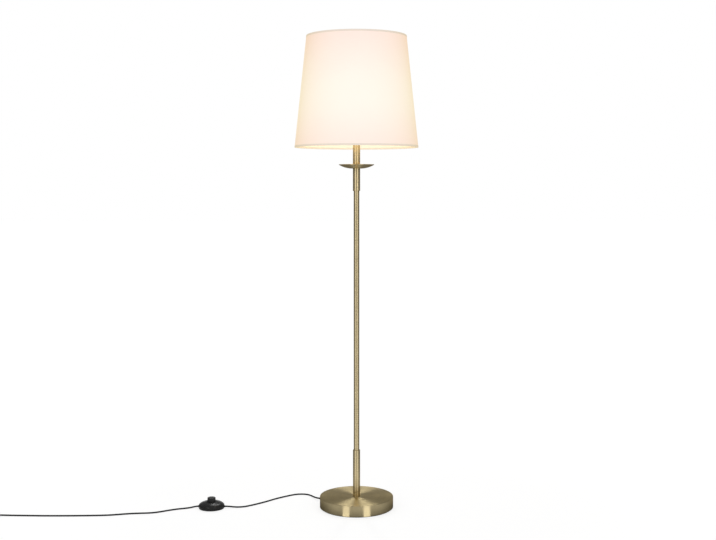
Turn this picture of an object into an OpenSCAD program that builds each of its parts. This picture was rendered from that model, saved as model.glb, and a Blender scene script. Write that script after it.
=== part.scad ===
// Candlestick floor lamp: weighted round base, three-tube stem with a drip dish,
// drum shade on a wire carrier, screw bulb, round foot switch and two-core cord.
// Millimetres, +Z up, origin at the centre of the base's underside. The camera side is -Y.

/* [Overall] */
// Height from the floor to the top rim of the shade
lamp_h = 1500; // [1400:10:1600]

/* [Base] */
// Diameter of the base cover
base_d = 236; // [220:2:260]
// Height of the base from the floor to its top face
base_h = 37; // [35:1:42]
// Thickness of the pad under the base
pad_t = 2; // [1.5:0.5:3]
// Height of the iron disc, without its hub
weight_h = 16; // [12:1:18]
// Direction in which the cord leaves the base, counted from +X
exit_angle = 149; // [140:1:160]
// Height of the cord's exit above the floor
exit_z = 7.5; // [7:0.5:9]

/* [Stem] */
// Diameter of the three wide tubes
wide_d = 23; // [22:0.5:24]
// Diameter of the main tube
main_d = 18; // [17:0.5:19]
// Wall of every tube
tube_wall = 1.2; // [1:0.1:1.5]
// Length of the lower wide tube
lower_len = 151; // [130:1:170]
// Length of the wide tube under the drip dish
upper_len = 70.5; // [60:0.5:80]
// Length of the candle tube above the drip dish
candle_len = 115.3; // [110:0.1:120]
// Diameter of the drip dish
dish_d = 112; // [100:1:120]
// Rise of the dish's rim above its middle
dish_rise = 12; // [10:0.5:16]

/* [Shade] */
// Diameter of the bottom rim
shade_bottom_d = 390; // [370:2:400]
// Diameter of the top rim
shade_top_d = 314; // [300:2:330]
// Height of the shade
shade_h = 346.5; // [330:0.5:360]
// Rise of the carrier from the bottom rim to the lampholder
carrier_rise = 78.5; // [70:0.5:85]

/* [Switch and cord] */
// Diameter of the foot switch
switch_d = 82; // [76:1:84]
// Height of the switch's parting line above the floor
switch_part_z = 9.5; // [9:0.5:11]
// Height of the released button's top above the floor
button_top_z = 35; // [33:0.5:36]
// Travel of the button
button_travel = 4; // [3:0.5:4]
// Diameter of the cord
cord_d = 5; // [4.6:0.1:5]
// Length of the strain relief behind the base
relief_len = 22; // [20:1:26]

/* [Hidden] */
$fn = 96;
eps = 0.01;

brass = [0.72, 0.62, 0.42];
dark_plastic = [0.09, 0.09, 0.09];
steel = [0.62, 0.63, 0.65];

// Threads are M10x1 throughout the stem: the nipples, their nut and the bushes.
nipple_r = 5;
nipple_bore_r = 3.5;
wire_r = cord_d / 2;

// Base
base_r = base_d / 2;
cover_t = 1.2;
cover_edge = 1.2;
cover_foot_z = pad_t + 0.5;
weight_r = base_r - cover_t - 1.2;
weight_top = base_h - cover_t;
hub_r = 34;
nut_recess_r = 26;
web_t = 6.8;
web_z = weight_top - web_t;
washer_r = 14;
washer_t = 1.6;
lock_t = 1.4;
nut_flats = 14;
nut_h = 5.5;
nut_z = web_z - washer_t - lock_t - nut_h;
nipple_foot_z = nut_z - 1.5;
groove_w = 10;
groove_top = exit_z + 5.5;
clamp_at = 66;
clamp_w = 12;
clamp_len = 34;
clamp_pocket = 2;
clamp_screw_at = 11;
clamp_screw_r = 1.5;
gland_r = 5.4;

// Stem, from the base's top face upwards
wide_r = wide_d / 2;
wide_in = wide_r - tube_wall;
main_r = main_d / 2;
main_in = main_r - tube_wall;
tube_chamfer = 0.9;
bush_h = 12;
shade_z = lamp_h - shade_h;
fitter_z = shade_z + carrier_rise;
holder_cap_h = 25;
flange_t = 3;
candle_top = fitter_z - flange_t - holder_cap_h;
candle_z = candle_top - candle_len;
dish_t = 1.2;
dish_z = candle_z - dish_t;
upper_z = dish_z - upper_len;
lower_z = base_h;
main_z = lower_z + lower_len;
dish_r = dish_d / 2;
dish_flat_r = 14;
dish_span = dish_r - dish_flat_r;
dish_arc_r = (dish_span * dish_span + dish_rise * dish_rise) / (2 * dish_rise);

// Lampholder for an E27 bulb
holder_r = 19.5;
neck_r = 9;
body_thread_r = 19.4;
body_in = 15.9;
skirt_r = 17.5;
body_h = 30;
insert_h = 13;
insert_r = 15.7;
insert_z = fitter_z + 1 - insert_h;
shell_z = fitter_z + 1;
shell_in = 13.2;
shell_t = 0.5;
tip_z = fitter_z + 4;
terminal_at = 9;

// Bulb, 60 mm across
crest_r = 13.12;
root_r = 12.3;
thread_pitch = 3.629;
thread_z = tip_z + 5;
thread_turns = 5;
cap_top = thread_z + thread_turns * thread_pitch + 3.4;
globe_r = 30;
globe_z = tip_z + 75;
glass_t = 0.9;
glass_neck_r = 11.9;
glass_fillet = 40;

// Shade
shade_br = shade_bottom_d / 2;
shade_tr = shade_top_d / 2;
hem_t = 0.4;
hem_gap = 0.05;
cover_wall = 0.8;
rim_wire_r = 1.6;
rim_lift = 2.6;
hem_h = 6;
spoke_r = 1.5;
fitter_in = 20;
fitter_out = 27;
fitter_t = 2;
spoke_angles = [90, 210, 330];

// Foot switch
switch_at = [-466, -12, 0];
switch_r = switch_d / 2;
switch_foot_r = switch_r - 0.8;
feet_t = 1;
dome_top = 24;
collar_top = 24.2;
button_r = 13;
button_hole_r = 13.3;
switch_wall = 2;
floor_z = 3.5;
entry_z = 6;
entry_r = 2.6;
flange_top = dome_top - 3;
flange_r = button_r + 1.6;
spring_r = 10.3;
spring_wire_r = 0.5;
spring_seat_z = 5.5;
spring_turns = 4;
screw_at = 29;

// Put-away coil and plug, beyond the left edge of the picture: three layers of turns,
// two beside each other, with their middle 11 diameters across
coil_at = [-1165, -128, 0];
coil_r = 27.5;
coil_pitch = 5.3;
coil_layers = 3;
tie_t = 1;
coil_foot = tie_t + 0.2;
coil_w = cord_d + coil_pitch;
coil_h = cord_d + (coil_layers - 1) * coil_pitch;
plug_at = [-1195, -178, 7];
plug_w = 35;
plug_t = 13.7;
plug_l = 34;
pin_r = 2;
pin_gap = 19;
pin_len = 19;
shank_r = 1.6;
shank_len = 8;

// Routes of the free cord, as points on its centre line
switch_route = [
    [-121.9, 73.2, 7.5], [-123.9, 74.5, 7.4], [-126.9, 76.6, 7.3], [-130.8, 80.6, 6.9],
    [-135.7, 87.5, 6.3], [-140.4, 96, 5.4], [-145.8, 107.7, 4.4], [-150.4, 117.5, 3.5],
    [-154.9, 125.3, 2.9], [-160.7, 132.2, 2.6], [-168.5, 137.4, 2.5], [-179, 140.3, 2.5],
    [-192.5, 139.8, 2.5], [-206, 135.6, 2.5], [-221, 125.8, 2.5], [-246, 105, 2.5],
    [-271, 81, 2.5], [-295, 54, 2.5], [-319, 30, 2.5], [-343, 9, 2.5], [-362, -4, 2.5],
    [-381, -10, 3], [-396, -12, 4.2], [-410, -12, 5.5], [-425, -12, 6], [-436, -12, 6],
];
coil_route = [
    [-496, -12, 6], [-503, -12, 6], [-512, -12.2, 6], [-522, -14.2, 5], [-535, -19, 3.5], [-552, -24, 2.6],
    [-570, -30, 2.5], [-588, -39, 2.5], [-605, -49, 2.5], [-622, -60, 2.5], [-640, -69, 2.5],
    [-660, -74, 2.5], [-680, -76, 2.5], [-705, -79, 2.5], [-730, -84, 2.5], [-755, -91, 2.5],
    [-785, -97, 2.5], [-822, -100, 2.5], [-870, -102, 2.5], [-920, -103, 2.5],
    [-975, -103, 2.5], [-1030, -101, 2.5], [-1080, -99, 2.6], [-1120, -98, 3.2],
    [-1152, -98, 3.7],
];
plug_route = [
    [-1195, -142, 14], [-1195, -150, 12], [-1195, -163, 8.2], [-1195, -178, 7],
];

// ---------- shared shapes ----------

// Turned ring from z = 0 up
module ring(outer_r, inner_r, h) {
    difference() {
        cylinder(r = outer_r, h = h);
        translate([0, 0, -1]) cylinder(r = inner_r, h = h + 2);
    }
}

// Half profile of a solid disc with a rounded top edge
module round_top_profile(r, h, edge) {
    square([r - edge, h]);
    square([r, h - edge]);
    translate([r - edge, h - edge]) circle(edge);
}

// Tube whose outer edges are chamfered at the foot, the head or both
module stem_tube(outer_r, z, len, foot, head) {
    color(brass) rotate_extrude() polygon([
        [outer_r - tube_wall, z], [outer_r - foot, z], [outer_r, z + foot],
        [outer_r, z + len - head], [outer_r - head, z + len], [outer_r - tube_wall, z + len],
    ]);
}

// Threaded end bush, flush with the end of its tube
module bush(outer_r, z) {
    color(brass) translate([0, 0, z]) ring(outer_r, nipple_r, bush_h);
}

// Hollow threaded nipple
module nipple(z0, z1) {
    color(steel) translate([0, 0, z0]) ring(nipple_r, nipple_bore_r, z1 - z0);
}

// Point on a smooth curve between b and c
function spline(a, b, c, d, t) =
    ((2 * b) + (c - a) * t + (2 * a - 5 * b + 4 * c - d) * t * t
        + (3 * b - a - 3 * c + d) * t * t * t) / 2;

// A route with every stretch between two of its points divided into steps
function smooth(p, steps) = [
    for (i = [0 : len(p) - 2], k = [0 : steps - 1])
        spline(p[max(i - 1, 0)], p[i], p[i + 1], p[min(i + 2, len(p) - 1)], k / steps),
    p[len(p) - 1],
];

function unit(v) = v / norm(v);

// Direction of a route at point i
function heading(p, i) = unit(p[min(i + 1, len(p) - 1)] - p[max(i - 1, 0)]);

// Round bar along a route. side is a fixed direction across it, where it runs upright.
module bar_along(p, r, sides, side = undef) {
    rings = [
        for (i = [0 : len(p) - 1])
            let (
                t = heading(p, i),
                s = is_undef(side) ? unit(cross(t, [0, 0, 1])) : side,
                u = cross(s, t)
            )
            for (j = [0 : sides - 1])
                p[i] + r * (cos(360 * j / sides) * s + sin(360 * j / sides) * u)
    ];
    last = len(p) - 1;
    walls = [
        for (i = [0 : last - 1], j = [0 : sides - 1])
            [i * sides + j, i * sides + (j + 1) % sides,
                (i + 1) * sides + (j + 1) % sides, (i + 1) * sides + j]
    ];
    start_cap = [for (j = [sides - 1 : -1 : 0]) j];
    end_cap = [for (j = [0 : sides - 1]) last * sides + j];
    polyhedron(rings, concat(walls, [start_cap], [end_cap]), convexity = 6);
}

// ---------- base ----------

module base_pad() {
    color([0.12, 0.12, 0.12]) cylinder(r = base_r - 4, h = pad_t);
}

module base_weight() {
    color([0.3, 0.3, 0.31]) difference() {
        union() {
            translate([0, 0, pad_t]) cylinder(r = weight_r, h = weight_h);
            translate([0, 0, pad_t]) cylinder(r = hub_r, h = weight_top - pad_t);
        }
        translate([0, 0, pad_t - 1]) cylinder(r = nut_recess_r, h = web_z - pad_t + 1);
        cylinder(r = nipple_r + 0.2, h = base_h);
        rotate(exit_angle) {
            translate([nut_recess_r - 8, -groove_w / 2, pad_t - 1])
                cube([weight_r, groove_w, groove_top - pad_t + 1]);
            translate([clamp_at - clamp_w / 2 - 0.5, -clamp_len / 2 - 0.5, pad_t - 1])
                cube([clamp_w + 1, clamp_len + 1, clamp_pocket + 1]);
            for (side = [-1, 1])
                translate([clamp_at, side * clamp_screw_at, pad_t])
                    cylinder(r = clamp_screw_r, h = 12, $fn = 32);
        }
    }
}

module base_cover() {
    color(brass) difference() {
        rotate_extrude($fn = 192) difference() {
            round_top_profile(base_r, base_h, cover_edge);
            square([base_r - cover_t, base_h - cover_t]);
            translate([-1, -1]) square([base_r + 2, cover_foot_z + 1]);
            translate([-1, 0]) square([nipple_r + 1.2, base_h + 1]);
        }
        rotate(exit_angle) translate([base_r - 6, 0, exit_z]) rotate([0, 90, 0])
            cylinder(r = gland_r, h = 12, $fn = 48);
    }
}

module base_washer() {
    color(steel) translate([0, 0, web_z - washer_t]) ring(washer_r, nipple_r + 0.2, washer_t);
}

module base_lock_washer() {
    color(steel) translate([0, 0, web_z - washer_t - lock_t]) difference() {
        ring(8.6, nipple_r + 0.2, lock_t);
        translate([0, -0.8, -1]) cube([12, 1.6, lock_t + 2]);
    }
}

module base_nut() {
    color(steel) translate([0, 0, nut_z]) difference() {
        cylinder(r = nut_flats / sqrt(3), h = nut_h, $fn = 6);
        translate([0, 0, -1]) cylinder(r = nipple_r, h = nut_h + 2);
    }
}

module base_nipple() {
    nipple(nipple_foot_z, lower_z + bush_h + 4);
}

module cord_gland() {
    color(dark_plastic) rotate(exit_angle) translate([0, 0, exit_z]) rotate([0, 90, 0])
        difference() {
            union() {
                translate([0, 0, base_r - 2.2]) cylinder(r = 5.2, h = 2.5, $fn = 48);
                translate([0, 0, base_r + 0.1]) cylinder(r1 = 6.4, r2 = 5.6, h = 1.9, $fn = 48);
            }
            cylinder(r = wire_r + 0.05, h = base_r + 10, $fn = 48);
        }
}

module base_cord_clamp() {
    color(steel) rotate(exit_angle)
        translate([clamp_at - clamp_w / 2, -clamp_len / 2, pad_t + 0.3]) difference() {
            cube([clamp_w, clamp_len, 1.5]);
            for (side = [-1, 1])
                translate([clamp_w / 2, clamp_len / 2 + side * clamp_screw_at, -1])
                    cylinder(r = clamp_screw_r + 0.1, h = 4, $fn = 32);
        }
}

module base_clamp_screws() {
    color(steel) rotate(exit_angle) for (side = [-1, 1])
        translate([clamp_at, side * clamp_screw_at, pad_t + 0.05]) {
            cylinder(r = 2.6, h = 0.25, $fn = 32);
            cylinder(r = clamp_screw_r, h = 9, $fn = 32);
        }
}

// ---------- stem ----------

module lower_sleeve() {
    stem_tube(wide_r, lower_z, lower_len, 0.3, tube_chamfer);
}

module wide_tube_bushes() {
    for (z = [lower_z, main_z - bush_h, upper_z, dish_z - bush_h, candle_z, candle_top - bush_h])
        bush(wide_in, z);
}

module lower_joint_nipple() {
    nipple(main_z - bush_h - 3, main_z + bush_h + 3);
}

module main_tube() {
    stem_tube(main_r, main_z, upper_z - main_z, 0.3, 0.3);
}

module main_tube_bushes() {
    for (z = [main_z, upper_z - bush_h])
        bush(main_in, z);
}

module upper_joint_nipple() {
    nipple(upper_z - bush_h - 3, upper_z + bush_h + 3);
}

module upper_sleeve() {
    stem_tube(wide_r, upper_z, upper_len, tube_chamfer, 0.3);
}

// Spun sheet dish: a flat middle and an arc that turns up to the rim
module drip_dish() {
    color(brass) translate([0, 0, dish_z]) rotate_extrude($fn = 144) {
        translate([nipple_r + 0.2, 0]) square([dish_flat_r - nipple_r - 0.2, dish_t]);
        intersection() {
            translate([dish_flat_r, dish_arc_r]) difference() {
                circle(dish_arc_r, $fn = 360);
                circle(dish_arc_r - dish_t, $fn = 360);
            }
            translate([dish_flat_r - eps, 0]) square([dish_span + eps, dish_rise + 2]);
        }
    }
}

module dish_nipple() {
    nipple(dish_z - bush_h - 3, candle_z + bush_h + 3);
}

module candle_tube() {
    stem_tube(wide_r, candle_z, candle_len, 0.3, 0.3);
}

module holder_nipple() {
    nipple(candle_top - bush_h - 3, candle_top + 8);
}

// ---------- lampholder ----------

module lampholder_cap() {
    cone_z = 7;
    wall_z = 12;
    inner_r = skirt_r + 0.05;
    color(dark_plastic) translate([0, 0, candle_top]) difference() {
        rotate_extrude() polygon([
            [nipple_r, 0], [neck_r, 0], [neck_r, cone_z], [holder_r, wall_z],
            [holder_r, holder_cap_h], [inner_r, holder_cap_h], [inner_r, wall_z + 2],
            [neck_r, cone_z + 1.6], [nipple_r, cone_z + 1.6],
        ]);
        translate([0, 0, 3.5]) rotate([90, 0, 0]) cylinder(r = 1.5, h = neck_r + 1, $fn = 32);
    }
}

module lampholder_grub_screw() {
    color(steel) translate([0, -nipple_r, candle_top + 3.5]) rotate([90, 0, 0]) difference() {
        cylinder(r = 1.5, h = 5, $fn = 32);
        translate([-0.3, -2, 4.2]) cube([0.6, 4, 1]);
    }
}

module lampholder_insert() {
    color([0.93, 0.92, 0.88]) translate([0, 0, insert_z]) difference() {
        cylinder(r = insert_r, h = insert_h);
        for (side = [-1, 1]) {
            translate([side * terminal_at - 3, -3, -1]) cube([6, 6, 7]);
            translate([side * terminal_at, 0, 0]) cylinder(r = 1.6, h = insert_h - 1, $fn = 32);
        }
    }
}

module lampholder_terminal_screws() {
    color(brass) for (side = [-1, 1])
        translate([side * terminal_at, 0, insert_z + 2]) {
            cylinder(r = 2.6, h = 1.6, $fn = 32);
            cylinder(r = 1.5, h = insert_h - 5, $fn = 32);
        }
}

module lampholder_body() {
    groove = 0.7;
    color(dark_plastic) translate([0, 0, fitter_z]) difference() {
        union() {
            translate([0, 0, -flange_t - 10]) cylinder(r = skirt_r, h = 11);
            translate([0, 0, -flange_t]) cylinder(r = 21.8, h = flange_t);
            cylinder(r = body_thread_r, h = body_h);
        }
        translate([0, 0, -flange_t - 11]) cylinder(r = body_in, h = body_h + 20);
        for (turn = [0 : 5])
            translate([0, 0, 11.5 + turn * 2.5]) ring(body_thread_r + 1, body_thread_r - groove, 1.1);
    }
}

module lampholder_screw_shell() {
    color(brass) translate([0, 0, shell_z]) {
        ring(shell_in + shell_t, 7, 0.6);
        ring(shell_in + shell_t, shell_in, body_h - 3);
    }
}

// Leaf that presses on the bulb's tip
module lampholder_centre_contact() {
    leaf_w = 5;
    leaf_t = 0.5;
    rise = tip_z - shell_z;
    color(brass) translate([0, leaf_w / 2, shell_z]) rotate([90, 0, 0])
        linear_extrude(leaf_w) polygon([
            [-6, 0], [-2.5, 0], [1.2, rise - leaf_t], [4.2, rise - leaf_t],
            [4.2, rise], [0.8, rise], [-2.8, leaf_t], [-6, leaf_t],
        ]);
}

// The cord inside: along the groove in the iron disc, round a bend, up the stem's bore
module inner_cord() {
    out = [cos(exit_angle), sin(exit_angle), 0];
    across = [-sin(exit_angle), cos(exit_angle), 0];
    bend_r = nipple_foot_z - exit_z + 1;
    bend = [
        for (a = [0 : 15 : 90])
            out * bend_r * (1 - sin(a)) + [0, 0, exit_z + bend_r * (1 - cos(a))]
    ];
    route = concat(
        [out * (base_r + 2 + relief_len) + [0, 0, exit_z], out * clamp_at + [0, 0, exit_z]],
        bend,
        [[0, 0, main_z], [0, 0, upper_z], [0, 0, candle_top + 6]]
    );
    color(dark_plastic) {
        bar_along(route, wire_r, 12, across);
        for (side = [-1, 1])
            bar_along([
                [side * 1.2, 0, candle_top + 5], [side * 1.4, 0, candle_top + 9],
                [side * 4, 0, candle_top + 11.5], [side * 7.5, 0, candle_top + 14],
                [side * terminal_at, 0, insert_z + 1],
            ], 0.9, 8, [0, side, 0]);
    }
}

// ---------- shade ----------

// Radius of the shade's outer face at a height above its bottom rim
function shade_r(z) = shade_br + (shade_tr - shade_br) * z / shade_h;

module shade_ring() {
    color(dark_plastic) translate([0, 0, fitter_z + fitter_t]) {
        ring(28, body_thread_r + 0.1, 2.4);
        ring(23.5, body_thread_r + 0.1, 8);
    }
}

// Radius of the centre line of a rim wire, which lies against the inside of the cover
function rim_wire_at(z) = shade_r(z) - hem_t - 2 * hem_gap - cover_wall - rim_wire_r;

// The three straight spokes, from the fitter ring down to the bottom rim wire
module spokes(r) {
    start = [fitter_out - 1.2, 0, fitter_z + 0.5];
    finish = [rim_wire_at(rim_lift) - 1.2, 0, shade_z + rim_lift];
    run = finish - start;
    for (a = spoke_angles)
        rotate(a) translate(start) rotate([0, 90 + atan2(-run[2], run[0]), 0])
            cylinder(r = r, h = norm(run), $fn = 24);
}

module shade_spider() {
    color([0.9, 0.9, 0.88]) {
        translate([0, 0, fitter_z]) ring(fitter_out, fitter_in, fitter_t);
        spokes(spoke_r);
    }
}

module rim_wire(z) {
    color([0.9, 0.9, 0.88]) translate([0, 0, shade_z + z]) rotate_extrude($fn = 144)
        translate([rim_wire_at(z), 0]) circle(rim_wire_r, $fn = 24);
}

module shade_bottom_ring() {
    rim_wire(rim_lift);
}

module shade_top_ring() {
    rim_wire(shade_h - rim_lift);
}

module shade_cover() {
    inset = hem_t + hem_gap;
    foot_r = shade_r(inset) - inset;
    head_r = shade_r(shade_h - inset) - inset;
    color([0.98, 0.95, 0.88]) translate([0, 0, shade_z]) rotate_extrude($fn = 192) polygon([
        [foot_r - cover_wall, inset], [foot_r, inset],
        [head_r, shade_h - inset], [head_r - cover_wall, shade_h - inset],
    ]);
}

// Tape folded round a rim: outer leg, edge and inner leg past the rim wire.
// edge is the rim's height in the shade and dir points from it into the shade.
module hem(edge, dir) {
    inner = 2 * (rim_wire_r + hem_t) + cover_wall + 0.4;
    tip = edge + dir * hem_h;
    fold = edge + dir * hem_t;
    color([0.96, 0.93, 0.86]) translate([0, 0, shade_z]) rotate_extrude($fn = 192) polygon([
        [shade_r(edge) - inner, edge], [shade_r(edge), edge], [shade_r(tip), tip],
        [shade_r(tip) - hem_t, tip], [shade_r(fold) - hem_t, fold],
        [shade_r(fold) - inner + hem_t, fold], [shade_r(tip) - inner + hem_t, tip],
        [shade_r(tip) - inner, tip],
    ]);
}

module shade_top_hem() {
    hem(shade_h, -1);
}

// The bottom hem is notched where the spokes pass its inner leg
module shade_bottom_hem() {
    difference() {
        hem(0, 1);
        spokes(spoke_r + 0.3);
    }
}

// ---------- bulb ----------

module bulb_cap() {
    color([0.8, 0.8, 0.78]) rotate_extrude() difference() {
        union() {
            translate([0, thread_z]) square([root_r, cap_top - thread_z]);
            for (turn = [0 : thread_turns - 1])
                translate([0, thread_z + turn * thread_pitch]) polygon([
                    [0, 0.2], [root_r, 0.2], [crest_r, thread_pitch * 0.35],
                    [crest_r, thread_pitch * 0.65], [root_r, thread_pitch - 0.2],
                    [0, thread_pitch - 0.2],
                ]);
            translate([0, cap_top - 3]) square([12.8, 3]);
        }
        translate([0, thread_z - 1]) square([glass_neck_r, cap_top - thread_z + 2]);
    }
}

module bulb_insulator() {
    color([0.1, 0.1, 0.12]) translate([0, 0, tip_z + 1.2])
        cylinder(r1 = 4.6, r2 = glass_neck_r, h = thread_z - tip_z - 1.2);
}

module bulb_tip_contact() {
    color([0.8, 0.8, 0.78]) translate([0, 0, tip_z]) cylinder(r1 = 4, r2 = 4.6, h = 1.2);
}

// Outline points of the glass at an offset in from its outer face, neck first
function glass_outline(inset) = let (
        neck = glass_neck_r - inset,
        globe = globe_r - inset,
        fillet = glass_fillet + inset,
        drop = sqrt(pow(globe_r + glass_fillet, 2) - pow(glass_neck_r + glass_fillet, 2)),
        meet = atan2(drop, glass_neck_r + glass_fillet)
    ) concat(
        [for (a = [0 : 8]) [
            neck + fillet - fillet * cos(meet * a / 8),
            globe_z - drop + fillet * sin(meet * a / 8),
        ]],
        [for (a = [1 : 16]) let (b = -meet + (90 + meet) * a / 16)
            [globe * cos(b), globe_z + globe * sin(b)]]
    );

module bulb_glass() {
    outer = glass_outline(0);
    inner = glass_outline(glass_t);
    neck_z = thread_z + 8;
    color([0.95, 0.95, 0.92, 0.4]) rotate_extrude() polygon(concat(
        [[glass_neck_r, neck_z]], outer,
        [for (i = [len(inner) - 1 : -1 : 0]) inner[i]], [[glass_neck_r - glass_t, neck_z]]
    ));
}

module bulb_stem() {
    foot_z = thread_z + 8;
    color([0.9, 0.92, 0.9, 0.5]) rotate_extrude() polygon([
        [0, foot_z], [glass_neck_r - glass_t, foot_z], [glass_neck_r - glass_t, foot_z + 3],
        [4, foot_z + 14], [2.2, foot_z + 26], [2.2, foot_z + 44], [0, foot_z + 44],
    ]);
}

module bulb_filaments() {
    color([0.95, 0.8, 0.4]) for (a = [45 : 90 : 315])
        rotate(a) translate([3.4, 0, globe_z - 18]) rotate([0, 10, 0])
            cylinder(r = 0.9, h = 34, $fn = 24);
}

// ---------- foot switch ----------

module switch_feet() {
    color(dark_plastic) translate(switch_at) for (a = [45 : 90 : 315])
        rotate(a) translate([screw_at, 0, 0]) cylinder(r = 5, h = feet_t, $fn = 48);
}

module switch_base() {
    color(dark_plastic) translate(switch_at) difference() {
        union() {
            difference() {
                translate([0, 0, feet_t])
                    cylinder(r1 = switch_foot_r, r2 = switch_r, h = switch_part_z - feet_t);
                translate([0, 0, floor_z])
                    cylinder(r = switch_r - switch_wall - 1.2, h = switch_part_z);
            }
            for (side = [0, 180])
                rotate(side) translate([switch_r - 3.4, 0, entry_z]) rotate([0, 90, 0])
                    cylinder(r = switch_part_z - entry_z - 0.1, h = 5.6, $fn = 48);
            for (a = [45 : 90 : 315])
                rotate(a) translate([screw_at, 0, floor_z - 1]) cylinder(r = 3.4, h = 8.5, $fn = 48);
            difference() {
                translate([0, 0, floor_z - 1]) ring(11.4, 9.3, spring_seat_z - floor_z + 1);
                translate([-15, -2.6, floor_z]) cube([30, 5.2, 4]);
            }
            translate([0, 0, floor_z - 1]) cylinder(r = 2.5, h = 7.4, $fn = 48);
        }
        for (side = [0, 180])
            rotate(side) translate([20, 0, entry_z]) rotate([0, 90, 0])
                cylinder(r = entry_r, h = 30, $fn = 48);
        for (a = [45 : 90 : 315])
            rotate(a) translate([screw_at, 0, 0]) {
                cylinder(r = 1.5, h = 20, $fn = 32);
                cylinder(r = 2.8, h = feet_t + 1.6, $fn = 32);
            }
    }
}

// Quarter of an ellipse that the dome turns, drawn in from its outer face
module dome_profile(inset) {
    intersection() {
        translate([0, switch_part_z])
            scale([1, (dome_top - switch_part_z - inset) / (switch_r - inset)])
                circle(switch_r - inset, $fn = 360);
        translate([0, switch_part_z]) square([switch_r, dome_top]);
    }
}

// Dome over the parting line, with a collar round the button
module switch_cover() {
    color(dark_plastic) translate(switch_at) difference() {
        union() {
            rotate_extrude() difference() {
                dome_profile(0);
                dome_profile(switch_wall);
            }
            translate([0, 0, switch_part_z]) ring(switch_r - 0.6, switch_r - 4, 0.9);
            translate([0, 0, flange_top - 0.4])
                ring(flange_r + 1.8, button_hole_r, collar_top - flange_top + 0.4);
            for (a = [45 : 90 : 315]) intersection() {
                rotate(a) translate([screw_at, 0, 11]) cylinder(r = 3.4, h = 12, $fn = 48);
                rotate_extrude() dome_profile(switch_wall / 2);
            }
        }
        for (a = [45 : 90 : 315])
            rotate(a) translate([screw_at, 0, 10]) cylinder(r = 1.5, h = 4, $fn = 32);
        translate([0, 0, flange_top - 3]) cylinder(r = button_hole_r, h = 12);
        translate([0, 0, flange_top - 4]) cylinder(r = flange_r + 0.8, h = 4);
    }
}

module switch_button() {
    edge = 1.4;
    plunger_z = 12.6;
    color([0.13, 0.13, 0.13]) translate(switch_at) {
        difference() {
            union() {
                rotate_extrude() round_top_profile(button_r, button_top_z, edge);
                translate([0, 0, flange_top - 2]) cylinder(r = flange_r, h = 2);
            }
            translate([0, 0, -1]) cylinder(r = 50, h = flange_top - 1);
            translate([0, 0, -1]) cylinder(r = 8.4, h = button_top_z - 1.5);
        }
        difference() {
            translate([0, 0, plunger_z]) ring(6.4, 3.4, button_top_z - 2 - plunger_z);
            for (a = [0, 90])
                rotate(a) translate([-10, -1, plunger_z - 1]) cube([20, 2, 2.6]);
        }
    }
}

module switch_spring() {
    rest = flange_top - 2 - spring_seat_z - 2 * spring_wire_r;
    helix = [
        for (i = [0 : spring_turns * 12])
            let (a = 30 * i)
            [spring_r * cos(a), spring_r * sin(a),
                spring_seat_z + spring_wire_r + rest * i / (spring_turns * 12)]
    ];
    color(steel) translate(switch_at) bar_along(helix, spring_wire_r, 6);
}

// Ratchet rotor that bridges the contacts, on the post in the middle
module switch_rotor() {
    color([0.85, 0.83, 0.75]) translate([switch_at[0], switch_at[1], 5.4]) difference() {
        union() {
            cylinder(r = 5.4, h = 2.8);
            for (a = [0, 90])
                rotate(a) translate([-8.4, -1.5, 0]) cube([16.8, 3, 1.6]);
        }
        translate([0, 0, -1]) cylinder(r = 2.55, h = 5, $fn = 48);
    }
}

module switch_contacts() {
    color(brass) translate(switch_at) for (side = [0, 180])
        rotate(side) {
            translate([5.4, -2, floor_z]) cube([14, 4, 0.6]);
            translate([5.4, -2, floor_z]) cube([1.2, 4, 1.8]);
            translate([18.6, -3, floor_z]) cube([6, 6, 5]);
        }
}

module switch_screws() {
    color(steel) translate(switch_at) for (a = [45 : 90 : 315])
        rotate(a) translate([screw_at, 0, feet_t + 0.1]) {
            cylinder(r = 2.6, h = 1.4, $fn = 32);
            cylinder(r = 1.45, h = 11.5, $fn = 32);
        }
}

module switch_cord_clamps() {
    color([0.7, 0.7, 0.7]) translate(switch_at) for (side = [0, 180])
        rotate(side) translate([31, -6, entry_z + wire_r + 0.05]) cube([3.4, 12, 1.4]);
}

// ---------- cord, coil and plug ----------

module cord_strain_relief() {
    color(dark_plastic) rotate(exit_angle) translate([base_r + 2, 0, exit_z]) rotate([0, 90, 0])
        difference() {
            cylinder(r1 = 4.4, r2 = 3.1, h = relief_len, $fn = 48);
            translate([0, 0, -1]) cylinder(r = wire_r + 0.05, h = relief_len + 2, $fn = 48);
        }
}

module cord_to_switch() {
    color(dark_plastic) bar_along(smooth(switch_route, 2), wire_r, 8);
}

module cord_to_coil() {
    color(dark_plastic) bar_along(smooth(coil_route, 2), wire_r, 8);
}

module cord_coil() {
    color(dark_plastic) translate(coil_at + [0, 0, coil_foot])
        ring(coil_r + coil_w / 2, coil_r - coil_w / 2, coil_h);
}

module cord_to_plug() {
    color(dark_plastic) bar_along(smooth(plug_route, 2), wire_r, 8);
}

// Strap round the bundle of turns, with its buckle on the outside
module cord_tie() {
    gap = 0.2;
    bulge = 0.7;
    inner_w = coil_w + 2 * bulge;
    inner_h = coil_h + 2 * gap;
    color([0.2, 0.2, 0.2]) translate(coil_at) rotate(300)
        translate([coil_r, 0, coil_foot - gap]) difference() {
            translate([-inner_w / 2 - tie_t, -5, -tie_t])
                cube([inner_w + 2 * tie_t + 1.5, 10, inner_h + 2 * tie_t]);
            translate([-inner_w / 2, -6, 0]) cube([inner_w, 12, inner_h]);
        }
}

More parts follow.
